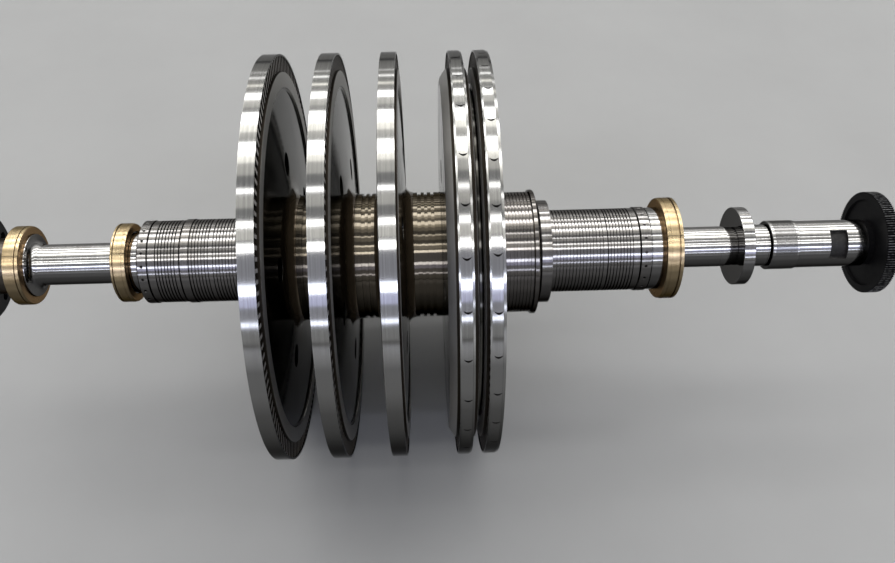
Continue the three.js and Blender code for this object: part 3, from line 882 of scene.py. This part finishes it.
# %% Control wheel
left, right, rim_radius = span("control_wheel")
rim_left, rim_right, rim_foot = 47.0, 128.0, rim_radius - rim_depth
gap_left, gap_right, gap_floor = 85.0, 95.0, rim_radius - 40
left_web = ((left + 1, web_foot + 1), (35.0, 345.0))
right_web = ((123.0, rim_foot - web_corner), (126.0, web_foot + web_corner))
outline = [(left, body + fit), (left, drum), (left + 0.3, web_foot - 4)]
outline += straight(*left_web, 15) + [left_web[1], (36, 350)]
outline += [(rim_left, rim_radius - 1), (rim_left + 1, rim_radius), (gap_left - 3, rim_radius)]
outline += [(gap_left - 0.8, rim_radius - 1), (gap_left, rim_radius - 3), (gap_left + 1, gap_floor + 2)]
outline += [(gap_left + 3, gap_floor), (gap_right - 3, gap_floor), (gap_right - 1, gap_floor + 2)]
outline += [(gap_right, rim_radius - 3), (gap_right + 2, rim_radius), (rim_right - 1, rim_radius)]
outline += [(rim_right, rim_radius - 1), (rim_right, rim_foot)]
outline += hollow((rim_right, rim_foot), right_web[0], True, 4)[1:]
outline += straight(*right_web, 14)[1:]
outline += hollow(right_web[1], (right, drum), False, 10) + [(right, body + fit)]
wheel = turned(outline, 180)
faces = ((1, lambda r: on_line(right_web, r)), (-1, lambda r: on_line(left_web, r)))
drill_wheel(wheel, faces, 97)
break_edges(wheel, 0.4)
finished(wheel, "control_wheel_disc", [wheel_steel], ["control_wheel"])

# %% [markdown]
# ## Blades
# A blade of an impulse stage has a half-moon section: one side is hollow, the other is full, and both
# meet in thin edges. Steam turns round in the channel between two of them. One section is drawn as a
# face and pulled outwards, and the finished blade is copied round the wheel by a spin with duplicates.
# There are 130 in a row, so one blade has only a few faces. The edges that face along the shaft keep the
# bright steel, and the flanks that line the channels between the blades are painted dark, a painted shade.

# %% Blades
blade_count = 130
crown, hollow_depth, edge_width, centring = 8.5, 6.5, 3.4, 5
stations = (-1.0, -0.62, -0.22, 0.22, 0.62, 1.0)


def blade_row(left, right, root, top):
    """One row of half-moon blades between two radii."""
    middle, half = (left + right) / 2, (right - left) / 2
    full_side = [(middle + half * t, crown * (1 - t * t) + edge_width) for t in stations]
    hollow_side = [(middle + half * t, hollow_depth * (1 - t * t) - edge_width) for t in reversed(stations)]
    bm = bmesh.new()
    face = bm.faces.new([bm.verts.new((x, y - centring, root)) for x, y in full_side + hollow_side])
    pulled = bmesh.ops.extrude_face_region(bm, geom=[face])
    bmesh.ops.translate(bm, vec=(0, 0, top - root), verts=only(bmesh.types.BMVert, pulled["geom"]))
    bmesh.ops.recalc_face_normals(bm, faces=bm.faces)
    # All faces but the edges that face along the shaft get the second finish, a painted shade for the
    # channels.
    for face in bm.faces:
        face.material_index = 0 if abs(face.normal.x) > 0.9 else 1
    whole = bm.verts[:] + bm.edges[:] + bm.faces[:]
    bmesh.ops.spin(bm, geom=whole, cent=(0, 0, 0), axis=(1, 0, 0), dvec=(0, 0, 0), use_duplicate=True,
                   angle=math.tau * (blade_count - 1) / blade_count, steps=blade_count - 1)
    bmesh.ops.recalc_face_normals(bm, faces=bm.faces)
    return bm


for index in range(1, 6):
    left, right, top = span("blade_row_%d" % index)
    blades = blade_row(left, right, rim_radius, top + clearance)
    finished(blades, "blades_%d" % index, [blade_steel, channel_shade],
             ["blade_row_%d" % index])

# %% [markdown]
# ## Plain shroud bands
# A shroud band closes each row of blades round the outside, so that steam can't spill over their tips.
# The bands of the three single rows are plain polished rings.

# %% Plain bands
band_depth = 4
for index in range(1, 4):
    left, right, radius = span("shroud_band_%d" % index)
    bottom = radius - band_depth
    outline = [(left, bottom), (left, radius), (right, radius), (right, bottom)]
    turned_piece("shroud_band_%d" % index, "plain_band_%d" % index, outline, band_steel, 256, 0.4)

# %% [markdown]
# ## Sinking faces
# A pocket is made by pushing faces of the skin inwards. They are extruded, the old ones are deleted, and
# the new ones are scaled towards the shaft line. The floor and the walls get a dark finish of their own, a
# painted shade.

# %% Sinking faces
def sink(bm, faces, radius, depth):
    """Sinks faces of a skin towards the shaft line. Their floor and walls get the second finish."""
    sunk = bmesh.ops.extrude_face_region(bm, geom=faces)
    floor_points = only(bmesh.types.BMVert, sunk["geom"])
    bmesh.ops.delete(bm, geom=faces, context="FACES_ONLY")
    shrink = (radius - depth) / radius
    bmesh.ops.scale(bm, vec=(1, shrink, shrink), verts=floor_points)
    for point in floor_points:
        for face in point.link_faces:
            face.material_index = 1
    bmesh.ops.recalc_face_normals(bm, faces=bm.faces)


# %% [markdown]
# ## Bands with half-moon locks
# The bands of the control wheel slope at both edges. They are made of segments, and at each joint a
# half-moon pocket is cut into the band. The last segment is a little longer than the others. Two
# neighbouring lines of the turned grid are bent into the two arcs of a pocket, and the faces between them
# are sunk. The rest of the grid stays even, so the mirror finish shows no dents.

# %% Bands with half-moon locks
band_sides = 640
lock_depth = 3.6
upper_arc, lower_arc = (0.0, 2.5), (1.0, 5.2)


def locked_band(index, locks):
    """A band with sloping edges and a half-moon pocket at each of the given angles."""
    left, right, radius = span("shroud_band_%d" % index)
    lock_left, lock_right, edge_x = left + 6, left + 20.3, left + 21
    lock_middle, lock_half = (lock_left + lock_right) / 2, (lock_right - lock_left) / 2
    outline = [(left, radius - band_depth), (left, radius - 1.4), (left + 2.8, radius)]
    outline += straight((lock_left, radius), (lock_right, radius), 8) + [(lock_right, radius)]
    outline += [(edge_x, radius), (edge_x + 0.4, radius - 1), (right, radius - 2.6)]
    outline += [(right, radius - band_depth)]
    bm = turned(outline, band_sides)
    spacing = 360 / band_sides
    lines = {}
    for lock in locks:
        line = round(lock / spacing)
        lines[line % band_sides] = (lock, *upper_arc)
        lines[(line - 1) % band_sides] = (lock, *lower_arc)
    pocket_points = set()
    for point in bm.verts:
        place = math.degrees(math.atan2(point.co.z, -point.co.y))
        line = round(place / spacing) % band_sides
        across = (point.co.x - lock_middle) / lock_half
        on_top = math.hypot(point.co.y, point.co.z) > radius - 0.1
        if on_top and line in lines and abs(across) < 1.01:
            lock, end_drop, bow = lines[line]
            target = lock - math.degrees((end_drop + bow * (1 - across * across)) / radius)
            point.co = Matrix.Rotation(math.radians(place - target), 3, "X") @ point.co
            pocket_points.add(point)
    pockets = [f for f in bm.faces if all(v in pocket_points for v in f.verts)]
    print("pocket faces", len(pockets), "for", len(locks), "locks")
    # The floor and walls of each pocket get the painted shade.
    sink(bm, pockets, radius, lock_depth)
    finished(bm, "locked_band_%d" % index, [band_steel, pocket_shade], ["shroud_band_%d" % index], 20)


locked_band(4, row(83.3, 12.34, 29))
locked_band(5, row(44.9, 11.18, 32))

# %% [markdown]
# ## Thrust collar and locking collar
# The thrust collar takes the push of the steam and passes it to bearing pads on both of its faces. Next
# to it sits a slim locking collar. A plain turned skin does for both.

# %% Collars
bore = neck + fit
left, right, radius = span("thrust_collar")
outline = [(left, bore), (left, radius - 1), (left + 1, radius), (right - 1, radius)]
outline += [(right, radius - 1), (right, bore)]
turned_piece("thrust_collar", "thrust_collar_ring", outline, journal_steel, 160, 0.3)

left, right, radius = span("locking_collar")
outline = [(left, bore), (left, radius - 1), (left + 1, radius)]
outline += groove(right - 3, right - 2.4, radius, scribed_line) + [(right, radius), (right, bore)]
turned_piece("locking_collar", "locking_collar_ring", outline, journal_steel, 96, 0.3)

# %% [markdown]
# ## Front sleeve
# A long sleeve with one step runs from the collars to the toothed wheel. It has a window cut in it, whose
# floor and walls are painted dark, a painted shade. The faces where the window lies are picked by place and
# direction and sunk, as in the bands.

# %% Front sleeve with its window
left, right, radius = front_sleeve
slim = 47.8
step_x = 749.5
window_left, window_right = 812.0, 847.0
window_depth = 8.3
window_angle, window_half_angle = 40.0, 37.0
outline = [(left, bore), (left, radius - 1.5), (left + 1.5, radius), (step_x - 1, radius)]
outline += [(step_x, radius - 1), (step_x, slim), (window_left, slim), (window_right, slim)]
outline += [(right, slim), (right, bore)]
front = turned(outline, 120)
window = [f for f in front.faces
          if window_left < f.calc_center_median().x < window_right
          and f.normal.dot(round_the_shaft(0, 1, window_angle)) > math.cos(math.radians(window_half_angle))]
sink(front, window, slim, window_depth)
break_edges(front, 0.4)
finished(front, "front_sleeve_window", [sleeve_steel, window_painted_shade], ["front_sleeve"])

# %% [markdown]
# ## Toothed wheel
# At the very front sits a black wheel with fine teeth, which a sensor counts to read the speed. The rim
# is spun with four points to each tooth, and every second pair is scaled towards the shaft line, which
# leaves square teeth without drawing a single one.

# %% Toothed wheel
teeth = 126
left, right, radius = toothed
tooth_depth, tooth_foot = 3.3, radius - 3.4
rim_left = 898.0
rim_inside = radius - 15
outline = [(left, stub + fit), (left, 45), (left + 1, 46), (rim_left + 5, 46)]
outline += [(rim_left + 5, rim_inside - 2), (rim_left, rim_inside), (rim_left, tooth_foot)]
outline += [(rim_left, radius), (right, radius), (right, tooth_foot), (right, rim_inside)]
outline += [(right - 4, rim_inside - 2), (right - 4, 60), (right, 58), (right, stub + fit)]
toothed_rim = turned(outline, teeth * 4)


def in_gap(point):
    """Whether a rim point lies in the gap between two teeth."""
    turn = math.atan2(point.co.z, point.co.y) / math.tau * teeth
    return (turn + 0.01) % 1 >= 0.5


tooth_tips = [v for v in toothed_rim.verts if math.hypot(v.co.y, v.co.z) > radius - 0.1]
shrink = (radius - tooth_depth) / radius
bmesh.ops.scale(toothed_rim, vec=(1, shrink, shrink), verts=[v for v in tooth_tips if in_gap(v)])
finished(toothed_rim, "toothed_wheel_rim", [toothed_black], ["toothed_wheel"])

# %% [markdown]
# ## Coupling flange
# The driven machine is bolted to the flange at the left end, through eight holes. It is blackened
# steel. The flange face and its back get a grid of small faces, and each bolt hole is opened on both
# and bridged through, as in the wheels.

# %% Coupling flange
left, right, radius = coupling
flange_back = left + 48
hub_radius, coupling_bore = 56.0, 46.0
bolt_circle, bolt_hole, bolts, bolt_reach = 88.0, 9.0, 8, 12
outline = [(left, coupling_bore)] + straight((left, 66), (left, radius - 2), 8)
outline += [(left, radius - 2), (left + 2, radius), (flange_back - 2, radius), (flange_back, radius - 2)]
outline += straight((flange_back, radius - 2), (flange_back, hub_radius + 10), 6)[1:]
outline += hollow((flange_back, hub_radius + 10), (flange_back + 10, hub_radius), False, 5)
outline += [(right - 1, hub_radius), (right, hub_radius - 1), (right, coupling_bore)]
flange = turned(outline, 144)
for degrees in row(0, 360 / bolts, bolts):
    rims = []
    for sign, x in ((-1, left), (1, flange_back)):
        centre = round_the_shaft(x, bolt_circle, degrees)
        rims += round_opening(flange, centre, Vector((sign, 0, 0)), bolt_hole, bolt_reach)
    bmesh.ops.bridge_loops(flange, edges=rims)
break_edges(flange, 0.4)
for face in flange.faces:
    centre = face.calc_center_median()
    if centre.x > flange_back + 3 and math.hypot(centre.y, centre.z) < hub_radius + 7:
        face.material_index = 1
finished(flange, "coupling_flange_disc", [black_oxide, hub_steel], ["coupling_flange"])

# %% [markdown]
# ## Floor
# The studio has one plain pale sheet for a floor, painted matt, so that nothing in it competes with the
# part. It is a single face, and its edge lies far outside the picture.

# %% Floor
floor_colours = (0.28, 0.28, 0.277), (0.3, 0.3, 0.297)
floor_shape = bmesh.new()
bmesh.ops.create_grid(floor_shape, x_segments=1, y_segments=1, size=60)
floor_mesh = bpy.data.meshes.new("studio_floor")
floor_shape.to_mesh(floor_mesh)
floor_shape.free()
floor = bpy.data.objects.new("studio_floor", floor_mesh)
bpy.context.scene.collection.objects.link(floor)


def floor_finish():
    """Pale matt paint with a faint unevenness."""
    finish, tree = new_finish("pale_floor")
    colour = blend(tree, ramp(tree, stain_noise(tree, 2.0), 0.3, 0.7), *floor_colours)
    paint = node(tree, "ShaderNodeBsdfPrincipled", None, {"Roughness": 0.6})
    wire(tree, paint, {"Base Color": colour})
    to_output(tree, paint)
    return finish


floor_mesh.materials.append(floor_finish())
print("floor faces", len(floor_mesh.polygons))

# %% [markdown]
# ## Strip lamps
# Polished steel shows its surroundings more than itself. Long strip lamps that hang parallel to the
# shaft, in front, above and behind, draw the bright bars on every round piece. Each lamp is placed by its
# elevation, so a bar that lies too high or too low is moved by one number. The camera doesn't see them.

# %% Strip lamps
lamp_distance = 12.0
lamp_length = 60.0


def strip_lamp(name, elevation, width, brightness, tint):
    """A long lamp parallel to the shaft. Elevation is up from the front, and both angles are in degrees."""
    across = 2 * lamp_distance * math.tan(math.radians(width / 2))
    data = bpy.data.lights.new(name, "AREA")
    data.shape = "RECTANGLE"
    data.size = lamp_length
    data.size_y = across
    data.energy = brightness * math.pi * lamp_length * across
    data.color = tint
    lamp = bpy.data.objects.new(name, data)
    angle = math.radians(elevation)
    lamp.location = (0, -lamp_distance * math.cos(angle), axis_height + lamp_distance * math.sin(angle))
    lamp.rotation_euler = (math.pi / 2 - angle, 0, 0)
    lamp.visible_camera = False
    bpy.context.scene.collection.objects.link(lamp)


blue, cool, white, warm = (0.6, 0.63, 1.0), (0.78, 0.83, 1.0), (1.0, 1.0, 1.0), (1.0, 0.98, 0.9)
lamps = ((11, 2.5, 2.5, cool), (23, 6, 0.6, blue), (29, 5, 4.5, cool), (30, 44, 0.09, blue),
         (50.5, 4, 4.5, white), (57.5, 6, 0.5, warm), (62.5, 3, 4.0, white), (74.5, 7, 0.35, warm),
         (80, 2.5, 3.0, white), (92, 7, 0.4, warm), (98, 5, 1.3, warm), (104, 7, 4.5, white),
         (111, 6, 0.3, warm), (117, 6, 1.2, warm), (123.5, 7, 4.5, white), (134.5, 6, 0.4, warm),
         (140, 5, 3.5, white), (149.5, 2, 1.5, warm), (157.3, 2, 2.0, white), (163.8, 1.5, 1.0, white),
         (144, 66, 0.16, warm))
for number, lamp_settings in enumerate(lamps, start=1):
    strip_lamp("strip_lamp_%d" % number, *lamp_settings)
print("lamps", len(lamps))

# %% [markdown]
# ## Room
# Between the lamps the steel mirrors a room of one soft grey. It also fills the shadows a little.

# %% Room
room_colour, room_strength = (0.98, 0.99, 1.0, 1.0), 0.25
world = bpy.data.worlds.new("studio_room")
bpy.context.scene.world = world
world.use_nodes = True
room = world.node_tree
room.nodes.clear()
background = node(room, "ShaderNodeBackground", None, {"Color": room_colour, "Strength": room_strength})
wire(room, node(room, "ShaderNodeOutputWorld"), {"Surface": background.outputs[0]})
print("room nodes", len(room.nodes))

# %% [markdown]
# ## Camera
# The photographer stood in front of the rotor and looked down on it at about 45 degrees, with a slight
# turn to the left and a small tilt. The camera's distance, its three small angles and its lens were
# worked out from the ellipses of the wheels and the outline of the shaft.

# %% Camera
photo_width = 895
focal_pixels = 855.4
camera_distance = 1.7422
camera_x = -0.0005
camera_elevation = math.radians(45)
yaw, pitch, roll = (math.radians(angle) for angle in (-1.407, -1.853, -1.582))
camera_data = bpy.data.cameras.new("camera")
camera_data.sensor_width = 36
camera_data.lens = focal_pixels / photo_width * camera_data.sensor_width
camera = bpy.data.objects.new("camera", camera_data)
place = Matrix.Translation((camera_x, -camera_distance * math.cos(camera_elevation),
                            axis_height + camera_distance * math.sin(camera_elevation)))
look = Matrix.Rotation(math.pi / 2 - camera_elevation, 4, "X")
turn = Matrix.Rotation(yaw, 4, "Y") @ Matrix.Rotation(pitch, 4, "X") @ Matrix.Rotation(roll, 4, "Z")
camera.matrix_world = place @ look @ turn
bpy.context.scene.collection.objects.link(camera)
bpy.context.scene.camera = camera
bpy.context.scene.view_settings.view_transform = "Standard"
print("camera lens", round(camera_data.lens, 2), "mm")

# %% [markdown]
# ## Triangle count
# The last cell prints how many triangles all the pieces were made with. The dressed
# part has to fit the box of the plain one.

# %% Triangle count
print("triangles made", triangles_made)
